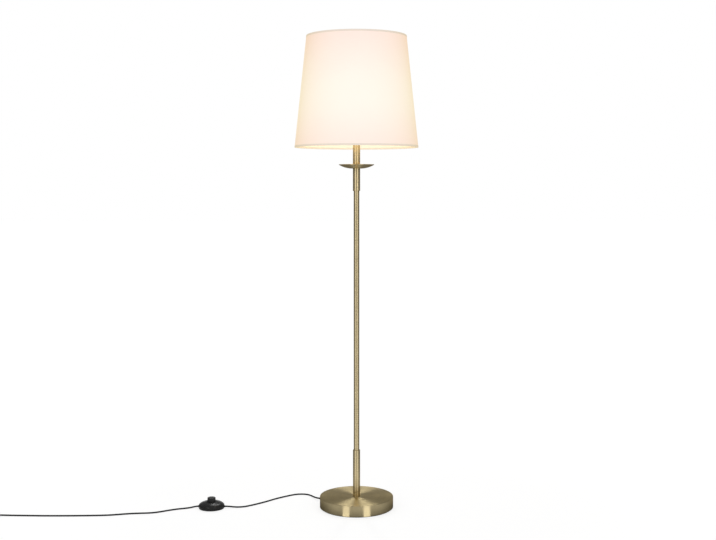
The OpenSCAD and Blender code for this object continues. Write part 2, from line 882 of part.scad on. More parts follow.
// Flat two-pin plug lying on its broad side, its pins towards -Y
module plug_body() {
    color(dark_plastic) translate([plug_at[0], plug_at[1], 0]) rotate([90, 0, 0]) difference() {
        union() {
            translate([0, 7, 0]) cylinder(r = 4, h = 8, $fn = 48);
            hull() {
                translate([-8, 2.5, 5]) cube([16, 9, 1]);
                translate([-plug_w / 2, 0.2, 18]) cube([plug_w, plug_t - 0.4, plug_l - 18]);
            }
        }
        translate([0, 7, -1]) cylinder(r = wire_r + 0.05, h = 5, $fn = 48);
        for (side = [-1, 1])
            translate([side * pin_gap / 2, plug_t / 2, plug_l - shank_len])
                cylinder(r = shank_r, h = shank_len + 1, $fn = 48);
    }
}

// Each pin has a thinner shank that is moulded into the body
module plug_pins() {
    tip = 1;
    color(steel) translate([plug_at[0], plug_at[1] - plug_l, plug_t / 2]) rotate([90, 0, 0])
        for (side = [-1, 1])
            translate([side * pin_gap / 2, 0, 0]) {
                translate([0, 0, -shank_len]) cylinder(r = shank_r, h = shank_len + eps, $fn = 48);
                cylinder(r = pin_r, h = pin_len - tip, $fn = 48);
                translate([0, 0, pin_len - tip])
                    cylinder(r1 = pin_r, r2 = pin_r * 0.6, h = tip, $fn = 48);
            }
}

base_pad();
base_weight();
base_cover();
base_washer();
base_lock_washer();
base_nut();
base_nipple();
cord_gland();
base_cord_clamp();
base_clamp_screws();
lower_sleeve();
wide_tube_bushes();
lower_joint_nipple();
main_tube();
main_tube_bushes();
upper_joint_nipple();
upper_sleeve();
drip_dish();
dish_nipple();
candle_tube();
holder_nipple();
lampholder_cap();
lampholder_grub_screw();
lampholder_insert();
lampholder_terminal_screws();
lampholder_body();
lampholder_screw_shell();
lampholder_centre_contact();
inner_cord();
shade_ring();
shade_spider();
shade_bottom_ring();
shade_top_ring();
shade_cover();
shade_top_hem();
shade_bottom_hem();
bulb_cap();
bulb_insulator();
bulb_tip_contact();
bulb_glass();
bulb_stem();
bulb_filaments();
switch_base();
switch_cover();
switch_button();
switch_spring();
switch_rotor();
switch_contacts();
switch_screws();
switch_feet();
switch_cord_clamps();
cord_to_switch();
cord_to_coil();
cord_coil();
cord_to_plug();
cord_strain_relief();
cord_tie();
plug_body();
plug_pins();
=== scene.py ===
"""Candlestick floor lamp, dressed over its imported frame, in metres.

The sections follow the lamp as it is put together: camera and cord first, then the base, the stem,
the lampholder, the bulb, the shade, the foot switch and the plug, and the room and its light last.
"""
import math
import bmesh
import bpy
import numpy as np
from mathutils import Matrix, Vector


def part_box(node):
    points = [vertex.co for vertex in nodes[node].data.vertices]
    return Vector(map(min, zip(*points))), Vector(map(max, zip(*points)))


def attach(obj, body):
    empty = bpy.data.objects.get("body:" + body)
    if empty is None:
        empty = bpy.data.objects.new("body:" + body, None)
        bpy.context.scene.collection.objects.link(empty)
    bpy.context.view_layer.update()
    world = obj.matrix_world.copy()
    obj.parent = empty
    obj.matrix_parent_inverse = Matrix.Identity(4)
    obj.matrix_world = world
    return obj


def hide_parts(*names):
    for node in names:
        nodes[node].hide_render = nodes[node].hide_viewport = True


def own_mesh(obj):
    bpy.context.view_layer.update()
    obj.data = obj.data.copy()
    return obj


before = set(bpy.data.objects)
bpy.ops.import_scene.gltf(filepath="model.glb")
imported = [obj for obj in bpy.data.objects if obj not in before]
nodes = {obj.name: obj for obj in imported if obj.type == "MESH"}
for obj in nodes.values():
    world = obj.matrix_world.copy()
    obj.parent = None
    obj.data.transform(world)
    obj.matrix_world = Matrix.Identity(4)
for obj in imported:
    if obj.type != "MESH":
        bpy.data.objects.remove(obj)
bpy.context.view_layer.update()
bpy.context.scene.view_settings.view_transform = "Standard"


# ---------- Camera ----------
# A plain studio camera in front of the lamp, level with the upper joint of its stem and tipped
# down a little. Its place and lens come from the ellipses of the base and of the shade's rims.
PICTURE_WIDTH_PX = 716
FOCAL_PX = 1095.6
CAMERA_AT = (0.0047, -3.4679, 1.0263)
CAMERA_PITCH = math.radians(4.28)

camera_data = bpy.data.cameras.new("studio_camera")
camera_data.sensor_width = 36.0
camera_data.lens = camera_data.sensor_width * FOCAL_PX / PICTURE_WIDTH_PX
camera = bpy.data.objects.new("studio_camera", camera_data)
camera.location = CAMERA_AT
camera.rotation_euler = (math.pi / 2 - CAMERA_PITCH, 0, 0)
bpy.context.collection.objects.link(camera)
bpy.context.scene.camera = camera


# ---------- Cord ----------
# Round two-core mains lead, 5 mm across, in a smooth black PVC sheath. It leaves the base at the
# back left and passes through the foot switch; what lies beyond the picture is wound and tied.
CORD_D = 0.005
SWITCH_ROUTE_MM = [
    (-121.9, 73.2, 7.5), (-123.9, 74.5, 7.4), (-126.9, 76.6, 7.3), (-130.8, 80.6, 6.9),
    (-135.7, 87.5, 6.3), (-140.4, 96, 5.4), (-145.8, 107.7, 4.4), (-150.4, 117.5, 3.5),
    (-154.9, 125.3, 2.9), (-160.7, 132.2, 2.6), (-168.5, 137.4, 2.5), (-179, 140.3, 2.5),
    (-192.5, 139.8, 2.5), (-206, 135.6, 2.5), (-221, 125.8, 2.5), (-246, 105, 2.5),
    (-271, 81, 2.5), (-295, 54, 2.5), (-319, 30, 2.5), (-343, 9, 2.5), (-362, -4, 2.5),
    (-381, -10, 3), (-396, -12, 4.2), (-410, -12, 5.5), (-425, -12, 6), (-436, -12, 6),
]
COIL_ROUTE_MM = [
    (-496, -12, 6), (-503, -12, 6), (-512, -12.2, 6), (-522, -14.2, 5), (-535, -19, 3.5),
    (-552, -24, 2.6), (-570, -30, 2.5), (-588, -39, 2.5), (-605, -49, 2.5), (-622, -60, 2.5),
    (-640, -69, 2.5), (-660, -74, 2.5), (-680, -76, 2.5), (-705, -79, 2.5), (-730, -84, 2.5),
    (-755, -91, 2.5), (-785, -97, 2.5), (-822, -100, 2.5), (-870, -102, 2.5), (-920, -103, 2.5),
    (-975, -103, 2.5), (-1030, -101, 2.5), (-1080, -99, 2.6), (-1120, -98, 3.2),
    (-1152, -98, 3.7),
]
PLUG_ROUTE_MM = [(-1195, -142, 14), (-1195, -150, 12), (-1195, -163, 8.2), (-1195, -178, 7)]
ROUTE_STEPS = 6
COIL_CENTRE_MM = (-1165, -128)
COIL_MIDDLE_R_MM = 27.5
COIL_PITCH_MM = 5.3
COIL_FIRST_Z_MM = 3.7
COIL_START_DEG, COIL_TURNS, COIL_STEPS = 90, 4.25, 160
COIL_CHANGEOVER = math.radians(80)
COIL_IN_DEG, COIL_UP_DEG, COIL_OUT_DEG, COIL_TOP_DEG = 450, 750, 1050, 1350


def smooth_route(points, steps):
    """Catmull-Rom curve through the points, each stretch divided into steps."""
    p = np.asarray(points, float)
    p = np.vstack([p[:1], p, p[-1:]])
    a, b, c, d = (p[i:len(p) - 3 + i, None] for i in range(4))
    t = (np.arange(steps) / steps)[None, :, None]
    curve = (2 * b + (c - a) * t + (2 * a - 5 * b + 4 * c - d) * t ** 2
             + (3 * b - a - 3 * c + d) * t ** 3) / 2
    return np.vstack([curve.reshape(-1, 3), p[-1:]])


def wound_turns():
    """Four and a quarter turns in three layers, round the coil's centre.

    The radius and the height change by one cord at each changeover, along half a wave of a cosine
    over 80 degrees, which ends before the turn below or beside it would be in the way.
    """
    end_deg = COIL_START_DEG + 360 * COIL_TURNS
    t = np.radians(np.linspace(COIL_START_DEG, end_deg, COIL_STEPS))

    def changeover(done_deg):
        s = np.clip((t - math.radians(done_deg)) / COIL_CHANGEOVER + 1, 0, 1)
        return (1 - np.cos(math.pi * s)) / 2

    outward = 0.5 - changeover(COIL_IN_DEG) + changeover(COIL_OUT_DEG)
    r = COIL_MIDDLE_R_MM + COIL_PITCH_MM * outward
    z = COIL_FIRST_Z_MM + COIL_PITCH_MM * (changeover(COIL_UP_DEG) + changeover(COIL_TOP_DEG))
    x, y = COIL_CENTRE_MM
    return np.stack([x + r * np.cos(t), y + r * np.sin(t), z], 1)


def bar(route, radius, around=20):
    """Grid of a round bar along a route: at each point a circle across its direction."""
    ahead = np.gradient(route, axis=0)
    ahead /= np.linalg.norm(ahead, axis=1)[:, None]
    side = np.cross(ahead, [0, 0, 1])
    side /= np.linalg.norm(side, axis=1)[:, None]
    up = np.cross(side, ahead)
    a = np.linspace(0, 2 * math.pi, around, endpoint=False)[:, None, None]
    return route + radius * (np.cos(a) * side + np.sin(a) * up)


def surface(name, points, closed=True, sharp_deg=32):
    """Closed mesh of a grid of points that runs round along its first axis.

    Its second axis is closed too, or else ends in a pole where its last ring is one point and in
    a flat cap where it isn't. The sign of the volume inside turns the faces outwards. The UV map
    "around" is in metres: round the widest ring, and along the second axis.
    """
    nu, nv = points.shape[:2]
    u = np.arange(nu)[:, None]
    v = np.arange(nv if closed else nv - 1)[None, :]
    steps = ((0, 0), (1, 0), (1, 1), (0, 1))
    quads = np.stack([(u + du) % nu * nv + (v + dv) % nv for du, dv in steps], -1).reshape(-1, 4)
    flat = points.reshape(-1, 3)
    a, b, c, d = (flat[quads[:, i]] for i in range(4))
    outward = (np.cross(b, c) * a).sum() + (np.cross(c, d) * a).sum() > 0
    around = np.linalg.norm(np.diff(points, axis=0, append=points[:1]), axis=-1)
    around = around[:, around.sum(0).argmax()]
    along = np.linalg.norm(np.diff(points, axis=1, append=points[:, :1]), axis=-1).max(0)
    u_at, v_at = (np.concatenate([[0], np.cumsum(x)]) for x in (around, along))
    uv = np.stack([
        np.stack(np.broadcast_arrays(u_at[u + du], v_at[v + dv]), -1) for du, dv in steps
    ], -2).reshape(-1, 4, 2)
    order = slice(None, None, 1 if outward else -1)
    faces, uv = quads[:, order].tolist(), uv[:, order].reshape(-1, 2)
    for ring, turn in ((0, -1), (nv - 1, 1)):
        if not closed and np.ptp(points[:, ring], axis=0).max() > 1e-6:
            loop = np.arange(nu) * nv + ring
            faces.append(loop[:: turn if outward else -turn].tolist())
            uv = np.vstack([uv, np.zeros((nu, 2))])
    mesh = bpy.data.meshes.new(name)
    mesh.from_pydata(flat.tolist(), [], faces)
    mesh.uv_layers.new(name="around").data.foreach_set("uv", uv.ravel())
    poles = bmesh.new()
    poles.from_mesh(mesh)
    bmesh.ops.remove_doubles(poles, verts=poles.verts, dist=1e-7)
    poles.to_mesh(mesh)
    poles.free()
    mesh.shade_smooth()
    mesh.set_sharp_from_angle(angle=math.radians(sharp_deg))
    return mesh


def new_piece(mesh, material, slot, body, *replaced):
    """Object of a mesh, with its finish, the body that it rides on and the nodes it stands for."""
    piece = bpy.data.objects.new(mesh.name, mesh)
    bpy.context.collection.objects.link(piece)
    mesh.materials.append(material)
    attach(piece, body)
    if replaced:
        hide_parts(*replaced)
    return piece


class Net:
    """Short way to add and join the nodes of one shader tree."""

    def __init__(self, tree):
        self.tree = tree

    def put(self, node, name, value):
        """Gives an input, by its name or its number, a value, or joins an output to it."""
        socket = node.inputs[name]
        if isinstance(value, bpy.types.NodeSocket):
            self.tree.links.new(value, socket)
        else:
            socket.default_value = value

    def add(self, kind, settings=(), **inputs):
        """Adds a node, sets its properties and fills its inputs."""
        node = self.tree.nodes.new("ShaderNode" + kind)
        for name, value in dict(settings).items():
            setattr(node, name, value)
        for name, value in inputs.items():
            self.put(node, name.replace("_", " "), value)
        return node

    def math(self, operation, *values):
        """Result of one Math node."""
        node = self.add("Math", {"operation": operation})
        for i, value in enumerate(values):
            self.put(node, i, value)
        return node.outputs[0]

    def spread(self, value, low, high, from_low=0.0, from_high=1.0):
        """A value spread from one range over another, and kept inside it."""
        node = self.add("MapRange", Value=value)
        for i, limit in enumerate((from_low, from_high, low, high), 1):
            self.put(node, i, limit)
        return node.outputs[0]

    def noise(self, place, scale, detail=2.0, roughness=0.5):
        """Value of a noise texture."""
        node = self.add("TexNoise", Vector=place, Scale=scale, Detail=detail, Roughness=roughness)
        return node.outputs[0]

    def ramp(self, value, *stops):
        """Colour ramp through (position, colour) stops."""
        node = self.add("ValToRGB", Fac=value)
        while len(node.color_ramp.elements) < len(stops):
            node.color_ramp.elements.new(0.5)
        for element, (position, colour) in zip(node.color_ramp.elements, stops):
            element.position, element.color = position, (*colour, 1)
        return node.outputs["Color"]

    def bump(self, height, strength, distance):
        """Normal of a relief."""
        return self.add("Bump", Height=height, Strength=strength, Distance=distance).outputs[0]

    def group(self, tree, **inputs):
        """Places a node group and fills its inputs."""
        node = self.add("Group", {"node_tree": tree})
        for name, value in inputs.items():
            self.put(node, name, value)
        return node


def new_material(name, **fixed):
    """Material, its net, its shader with fixed values on its sockets, and its place."""
    material = bpy.data.materials.new(name)
    material.use_nodes = True
    net = Net(material.node_tree)
    shader = material.node_tree.nodes["Principled BSDF"]
    for socket, value in fixed.items():
        net.put(shader, socket.replace("_", " "), value)
    return material, net, shader, net.add("TexCoord").outputs["Object"]


def new_group(name, inputs, outputs):
    """Empty node group with named sockets: its net, its input node and its output node."""
    tree = bpy.data.node_groups.new(name, "ShaderNodeTree")
    for label, kind, value in inputs:
        tree.interface.new_socket(label, in_out="INPUT", socket_type=kind).default_value = value
    for label in outputs:
        tree.interface.new_socket(label, in_out="OUTPUT", socket_type="NodeSocketFloat")
    return Net(tree), tree.nodes.new("NodeGroupInput").outputs, tree.nodes.new("NodeGroupOutput")


DRIFT_COARSER, SPECK_FINENESS = 30.0, 900.0
DUST = (0.30, 0.29, 0.27)


def grain_and_dust_group():
    """Moulding grain with a slow drift, and sparse dust on what faces up."""
    net, given, result = new_group(
        "grain_and_dust",
        [("Place", "NodeSocketVector", (0, 0, 0)), ("Fineness", "NodeSocketFloat", 600.0)],
        ["Grain", "Drift", "Dust"])
    grain = net.noise(given["Place"], given["Fineness"], detail=4.0, roughness=0.6)
    drift = net.noise(given["Place"], net.math("DIVIDE", given["Fineness"], DRIFT_COARSER))
    up = net.add("SeparateXYZ", Vector=net.add("NewGeometry").outputs["Normal"]).outputs["Z"]
    specks = net.spread(net.noise(given["Place"], SPECK_FINENESS), 0.0, 1.0, 0.56, 0.70)
    net.put(result, "Grain", grain)
    net.put(result, "Drift", drift)
    net.put(result, "Dust", net.math("MULTIPLY", specks, net.spread(up, 0.0, 1.0, 0.3, 1.0)))
    return net.tree


GRAIN_AND_DUST = grain_and_dust_group()


def moulded(name, dark, light, rough, fineness, relief, depth=0.0001, dust=0.1, **fixed):
    """Moulded, cast or plated surface: close colours, roughness and relief from one grain."""
    material, net, shader, place = new_material(name, **fixed)
    marks = net.group(GRAIN_AND_DUST, Place=place, Fineness=fineness)
    tone = net.math("MULTIPLY_ADD", marks.outputs["Grain"], 0.5,
                    net.math("MULTIPLY", marks.outputs["Drift"], 0.5))
    colour = net.ramp(tone, (0.3, dark), (0.7, light))
    dusty = net.math("MULTIPLY", marks.outputs["Dust"], dust)
    mix = net.add("Mix", {"data_type": "RGBA"})
    net.put(mix, 0, dusty)
    net.put(mix, 6, colour)
    net.put(mix, 7, (*DUST, 1))
    net.put(shader, "Base Color", mix.outputs[2])
    rough_here = net.spread(tone, rough[0], rough[1], 0.3, 0.7)
    net.put(shader, "Roughness", net.math("MULTIPLY_ADD", dusty, 0.4, rough_here))
    net.put(shader, "Normal", net.bump(marks.outputs["Grain"], relief, depth))
    return material


CORD_PVC = moulded("cord_sheath", (0.009, 0.009, 0.010), (0.019, 0.019, 0.020), (0.36, 0.48),
                   900.0, 0.15, dust=0.03, Specular_IOR_Level=0.3)

switch_route = smooth_route(SWITCH_ROUTE_MM, ROUTE_STEPS) / 1000
mains_route = np.vstack([
    smooth_route(COIL_ROUTE_MM, ROUTE_STEPS), wound_turns()[1:-1],
    smooth_route(PLUG_ROUTE_MM, ROUTE_STEPS),
]) / 1000
switch_lead = new_piece(surface("switch_lead", bar(switch_route, CORD_D / 2), closed=False),
                        CORD_PVC, "cord_black", "stand", "cord_to_switch")
mains_lead = new_piece(surface("mains_lead", bar(mains_route, CORD_D / 2), closed=False),
                       CORD_PVC, "cord_black", "stand", "cord_to_coil", "cord_coil",
                       "cord_to_plug")


# ---------- Strain relief ----------
# Tapered sleeve of soft black PVC with shallow ribs, moulded on the cord where it leaves the
# base, and the bushing that holds it in the cover's side.
EXIT_ANGLE = math.radians(149)
EXIT_Z = 0.0075
RELIEF_FROM, RELIEF_LEN = 0.120, 0.022
RELIEF_FOOT_R, RELIEF_TAPER, RELIEF_BORE_R = 0.0044, 0.0013, 0.00255
GROOVE_WAVES, GROOVE_DEPTH, GROOVES_FROM, GROOVES_TO = 6, 0.00035, 0.12, 0.95
BLACK_PLASTIC = moulded("black_moulding", (0.012, 0.012, 0.012), (0.022, 0.022, 0.022),
                        (0.40, 0.52), 1800.0, 0.25)


def dress(material, *names):
    """Gives CAD nodes their material."""
    for name in names:
        nodes[name].data.materials.clear()
        nodes[name].data.materials.append(material)


def ribbed_sleeve():
    """Radius falls evenly from 4.4 to 3.1 mm, less the upper half waves of a sine as grooves."""
    t = np.linspace(0, 1, 80)
    wave = np.clip(np.sin(t * GROOVE_WAVES * 2 * math.pi), 0, 1)
    groove = GROOVE_DEPTH * wave * (t > GROOVES_FROM) * (t < GROOVES_TO)
    outside = RELIEF_FOOT_R - RELIEF_TAPER * t - groove
    r = np.concatenate([outside, [RELIEF_BORE_R, RELIEF_BORE_R]])[:, None]
    d = np.concatenate([t * RELIEF_LEN, [RELIEF_LEN, 0]])[:, None]
    a = np.linspace(0, 2 * math.pi, 48, endpoint=False)[:, None, None]
    out = np.array([math.cos(EXIT_ANGLE), math.sin(EXIT_ANGLE), 0])
    across = np.array([-out[1], out[0], 0])
    centre = out * (RELIEF_FROM + d) + np.array([0, 0, EXIT_Z])
    return centre + r * (np.cos(a) * across + np.sin(a) * np.array([0, 0, 1]))


relief = new_piece(surface("cord_relief_sleeve", ribbed_sleeve()), BLACK_PLASTIC, "black_plastic",
                   "stand", "cord_strain_relief")
dress(BLACK_PLASTIC, "cord_gland")
dress(CORD_PVC, "inner_cord")


# ---------- Base ----------
# A spun brass cover, 1.2 mm thick and brushed in circles, over a disc of cast iron that keeps the
# lamp upright. A black foam pad shows as a thin line at the floor.
SHEET_T = 0.0012
WIDE_RINGS_COARSER, PATINA_FINENESS = 9.0, 16.0


def lathe_marks_group():
    """Fine rings round the Z axis, as noise of radius and height, and a slow patina."""
    net, given, result = new_group(
        "lathe_marks",
        [("Place", "NodeSocketVector", (0, 0, 0)), ("Fineness", "NodeSocketFloat", 3000.0)],
        ["Rings", "Patina"])
    split = net.add("SeparateXYZ", Vector=given["Place"])
    flat = net.add("CombineXYZ", X=split.outputs["X"], Y=split.outputs["Y"])
    radius = net.add("VectorMath", {"operation": "LENGTH"}, Vector=flat.outputs[0])
    ring = net.add("CombineXYZ", X=radius.outputs["Value"], Y=split.outputs["Z"])
    fine = net.noise(ring.outputs[0], given["Fineness"], detail=3.0, roughness=0.65)
    wide = net.noise(ring.outputs[0], net.math("DIVIDE", given["Fineness"], WIDE_RINGS_COARSER))
    net.put(result, "Rings", net.math("MULTIPLY_ADD", fine, 0.65, net.math("MULTIPLY", wide, 0.35)))
    net.put(result, "Patina", net.noise(given["Place"], PATINA_FINENESS, detail=4.0, roughness=0.6))
    return net.tree


LATHE_MARKS = lathe_marks_group()


def brass(name, dark, light, rough, fineness, relief, **fixed):
    """Lacquered antique brass: rings and patina in its colour, roughness and relief."""
    material, net, shader, place = new_material(
        name, Metallic=1.0, Coat_Weight=0.15, Coat_Roughness=0.2, Anisotropic_Rotation=0.25,
        Specular_Tint=(0.88, 0.79, 0.60, 1), **fixed)
    marks = net.group(LATHE_MARKS, Place=place, Fineness=fineness)
    tone = net.math("MULTIPLY_ADD", marks.outputs["Rings"], 0.6,
                    net.math("MULTIPLY", marks.outputs["Patina"], 0.4))
    net.put(shader, "Base Color", net.ramp(tone, (0.34, dark), (0.62, light)))
    net.put(shader, "Roughness", net.spread(marks.outputs["Rings"], *rough, 0.3, 0.7))
    net.put(shader, "Normal", net.bump(marks.outputs["Rings"], relief, 0.00002))
    tangent = net.add("Tangent", {"direction_type": "UV_MAP", "uv_map": "around"})
    net.put(shader, "Tangent", tangent.outputs[0])
    return material


BRASS_FACED = brass("brushed_brass_faced", (0.56, 0.46, 0.26), (0.76, 0.63, 0.36),
                    (0.29, 0.36), 1500.0, 0.3, Anisotropic=0.95)


def rounded(corners, radii, steps):
    """Closed outline whose corners are arcs tangent to both sides; radius 0 keeps a corner."""
    points = np.asarray(corners, float)
    outline = []
    for i, radius in enumerate(radii):
        here = points[i]
        back, on = points[i - 1] - here, points[(i + 1) % len(points)] - here
        back_len, on_len = np.linalg.norm(back), np.linalg.norm(on)
        back, on = back / back_len, on / on_len
        half = math.acos(float(np.clip(back @ on, -1, 1))) / 2
        if radius <= 0 or abs(half - math.pi / 2) < 1e-4:
            outline.append(here[None])
            continue
        reach = min(radius / math.tan(half), 0.49 * min(back_len, on_len))
        radius = reach * math.tan(half)
        centre = here + (back + on) / np.linalg.norm(back + on) * radius / math.sin(half)
        first, last = here + back * reach - centre, here + on * reach - centre
        a0, a1 = math.atan2(first[1], first[0]), math.atan2(last[1], last[0])
        sweep = (a1 - a0 + math.pi) % (2 * math.pi) - math.pi
        a = a0 + sweep * np.linspace(0, 1, steps + 1)
        outline.append(centre + radius * np.stack([np.cos(a), np.sin(a)], 1))
    return np.vstack(outline)


def turned(name, profile, around=96, closed=True):
    """Mesh of a profile (radius, height) carried round the Z axis."""
    a = np.linspace(0, 2 * math.pi, around, endpoint=False)[:, None]
    r, z = profile[:, 0], profile[:, 1]
    return surface(name, np.stack([r * np.cos(a), r * np.sin(a), z + 0 * a], -1), closed)


foot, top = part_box("base_cover")
BASE_R, BASE_TOP, COVER_FOOT = top[0], top[2], foot[2]
STEM_HOLE_R, RIM_EDGE_R, SHEET_EDGE_R = 0.0062, 0.0014, 0.0003
cover_profile = rounded(
    [(STEM_HOLE_R, BASE_TOP), (BASE_R, BASE_TOP), (BASE_R, COVER_FOOT),
     (BASE_R - SHEET_T, COVER_FOOT), (BASE_R - SHEET_T, BASE_TOP - SHEET_T),
     (STEM_HOLE_R, BASE_TOP - SHEET_T)],
    [0, RIM_EDGE_R, SHEET_EDGE_R, SHEET_EDGE_R, SHEET_EDGE_R, 0], steps=8)
new_piece(turned("base_cover_spun", cover_profile, around=256), BRASS_FACED, "antique_brass",
          "stand", "base_cover")

CAST_IRON = moulded("cast_iron", (0.05, 0.05, 0.052), (0.09, 0.09, 0.095), (0.55, 0.8), 350.0,
                    0.7, 0.0006, Metallic=0.6)
PAD_FOAM = moulded("pad_foam", (0.012, 0.012, 0.012), (0.03, 0.03, 0.03), (0.85, 1.0), 1500.0,
                   0.8, 0.0003)
ZINC = moulded("zinc_plate", (0.50, 0.51, 0.53), (0.62, 0.63, 0.65), (0.28, 0.42), 900.0, 0.15,
               Metallic=1.0)
dress(CAST_IRON, "base_weight")
dress(PAD_FOAM, "base_pad")
dress(ZINC, "base_washer", "base_lock_washer", "base_nut", "base_nipple", "base_cord_clamp",
      "base_clamp_screws")


# ---------- Stem ----------
# Four drawn brass tubes, 1.2 mm thick. The wide ones are stepped joints on a slim main tube; the
# ends that show have a small chamfer and close against each other with a hairline.
CHAMFER, EDGE, SOFTENING = 0.0009, 0.0003, 0.4
BRASS_TUBE = brass("brushed_brass_tube", (0.62, 0.505, 0.29), (0.76, 0.625, 0.365),
                   (0.26, 0.30), 2600.0, 0.08, Anisotropic=0.85)
BRASS_PLAIN = moulded("brass_bush", (0.55, 0.42, 0.18), (0.68, 0.53, 0.25), (0.25, 0.38), 700.0,
                      0.1, Metallic=1.0)


def stem_tube(node, foot_edge, head_edge):
    """Tube of its node's own size, with its outer edges cut back at 45 degrees and softened."""
    low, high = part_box(node)
    r, z0, z1 = high[0], low[2], high[2]
    bore = r - SHEET_T
    head_r, foot_r = head_edge * SOFTENING, foot_edge * SOFTENING
    profile = rounded(
        [(bore, z1), (r - head_edge, z1), (r, z1 - head_edge), (r, z0 + foot_edge),
         (r - foot_edge, z0), (bore, z0)],
        [0, head_r, head_r, foot_r, foot_r, 0], steps=4)
    new_piece(turned(node + "_drawn", profile), BRASS_TUBE, "antique_brass", "stand", node)


stem_tube("lower_sleeve", EDGE, CHAMFER)
stem_tube("main_tube", EDGE, EDGE)
stem_tube("upper_sleeve", CHAMFER, EDGE)
stem_tube("candle_tube", EDGE, EDGE)
dress(BRASS_PLAIN, "wide_tube_bushes", "main_tube_bushes")
dress(ZINC, "lower_joint_nipple", "upper_joint_nipple", "dish_nipple", "holder_nipple")


# ---------- Drip dish ----------
# Spun from 1.2 mm sheet: flat where it is clamped between the two wide tubes, then one arc up to
# its rim, whose edge is rounded over.
low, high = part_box("drip_dish")
DISH_R, DISH_Z = high[0], low[2]
DISH_BORE_R, DISH_FLAT_R, DISH_RISE = 0.0052, 0.014, 0.012
UNDER_INSET, OVER_INSET, RIM_STEP = 0.0002, 0.0006, 0.0003
dish_span = DISH_R - DISH_FLAT_R
dish_arc_r = (dish_span ** 2 + DISH_RISE ** 2) / (2 * DISH_RISE)


def dish_face(lift, edge, steps=40):
    """One face of the dish: an arc about a centre over the flat's edge, up to a radius edge."""
    r = dish_arc_r - lift
    t = np.linspace(0, math.asin((edge - DISH_FLAT_R) / r), steps)
    arc = np.stack([DISH_FLAT_R + r * np.sin(t), DISH_Z + lift + r * (1 - np.cos(t))], 1)
    return np.vstack([[(DISH_BORE_R, DISH_Z + lift)], arc])


under, over = dish_face(0, DISH_R - UNDER_INSET), dish_face(SHEET_T, DISH_R - OVER_INSET)
rim = np.array([[DISH_R, under[-1, 1] + RIM_STEP], [DISH_R, over[-1, 1] - RIM_STEP]])
dish_profile = np.vstack([under, rim, over[::-1]])
new_piece(turned("drip_dish_spun", dish_profile, around=160), BRASS_FACED, "antique_brass",
          "stand", "drip_dish")


# ---------- Lampholder ----------
# Black moulded lampholder with a porcelain insert and a brass screw shell; its ring clamps the
# shade's carrier on the shoulder.
PORCELAIN = moulded("porcelain", (0.80, 0.78, 0.72), (0.86, 0.85, 0.80), (0.12, 0.2), 300.0, 0.05)
dress(BLACK_PLASTIC, "lampholder_cap", "lampholder_body", "shade_ring")
dress(ZINC, "lampholder_grub_screw")
dress(PORCELAIN, "lampholder_insert")
dress(BRASS_PLAIN, "lampholder_terminal_screws", "lampholder_screw_shell",
      "lampholder_centre_contact")


# ---------- Bulb ----------
# Screw bulb, 60 mm across, frosted and lit: filament sticks on a glass stem, a nickel-plated cap
# and a black insulator round the tip contact.
NECK_R, NECK_FILLET, GLASS_T = 0.0119, 0.040, 0.0009
NICKEL = moulded("nickel_plate", (0.60, 0.59, 0.56), (0.70, 0.69, 0.66), (0.2, 0.32), 700.0, 0.1,
                 Metallic=1.0)


def glowing(name, body, light, dim, strength, rough):
    """Lit surface whose own light is a little uneven, over a pale body."""
    material, net, shader, place = new_material(
        name, Base_Color=(*body, 1), Emission_Strength=strength)
    cloud = net.noise(place, 60.0, detail=3.0)
    net.put(shader, "Emission Color", net.ramp(cloud, (0.3, dim), (0.7, light)))
    net.put(shader, "Roughness", net.spread(cloud, rough, rough + 0.15))
    return material


GLASS_GLOW = glowing("frosted_glass_lit", (0.9, 0.88, 0.84), (1.0, 0.80, 0.50),
                     (0.94, 0.73, 0.44), 6.0, 0.3)
FILAMENT_GLOW = glowing("filament_lit", (0.9, 0.7, 0.3), (1.0, 0.78, 0.42), (0.95, 0.70, 0.36),
                        12.0, 0.45)
low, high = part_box("bulb_glass")
GLOBE_R, NECK_Z = high[0], low[2]
GLOBE_Z = high[2] - GLOBE_R


def glass_face(inset):
    """Neck, hollow shoulder and globe as arcs tangent to each other, from the neck to the pole."""
    drop = math.sqrt((GLOBE_R + NECK_FILLET) ** 2 - (NECK_R + NECK_FILLET) ** 2)
    meet = math.atan2(drop, NECK_R + NECK_FILLET)
    fillet, globe = NECK_FILLET + inset, GLOBE_R - inset
    a, b = np.linspace(0, meet, 16)[:-1], np.linspace(-meet, math.pi / 2, 40)
    shoulder = np.stack([
        NECK_R - inset + fillet * (1 - np.cos(a)), GLOBE_Z - drop + fillet * np.sin(a)], 1)
    ball = np.stack([globe * np.cos(b), GLOBE_Z + globe * np.sin(b)], 1)
    ball[-1, 0] = 0
    return np.vstack([[(NECK_R - inset, NECK_Z)], shoulder, ball])


glass_profile = np.vstack([glass_face(0)[::-1], glass_face(GLASS_T)])
new_piece(turned("bulb_glass_blown", glass_profile, closed=False), GLASS_GLOW, "bulb_glass",
          "bulb", "bulb_glass")
dress(NICKEL, "bulb_cap", "bulb_tip_contact")
dress(BLACK_PLASTIC, "bulb_insulator")
dress(GLASS_GLOW, "bulb_stem")
dress(FILAMENT_GLOW, "bulb_filaments")


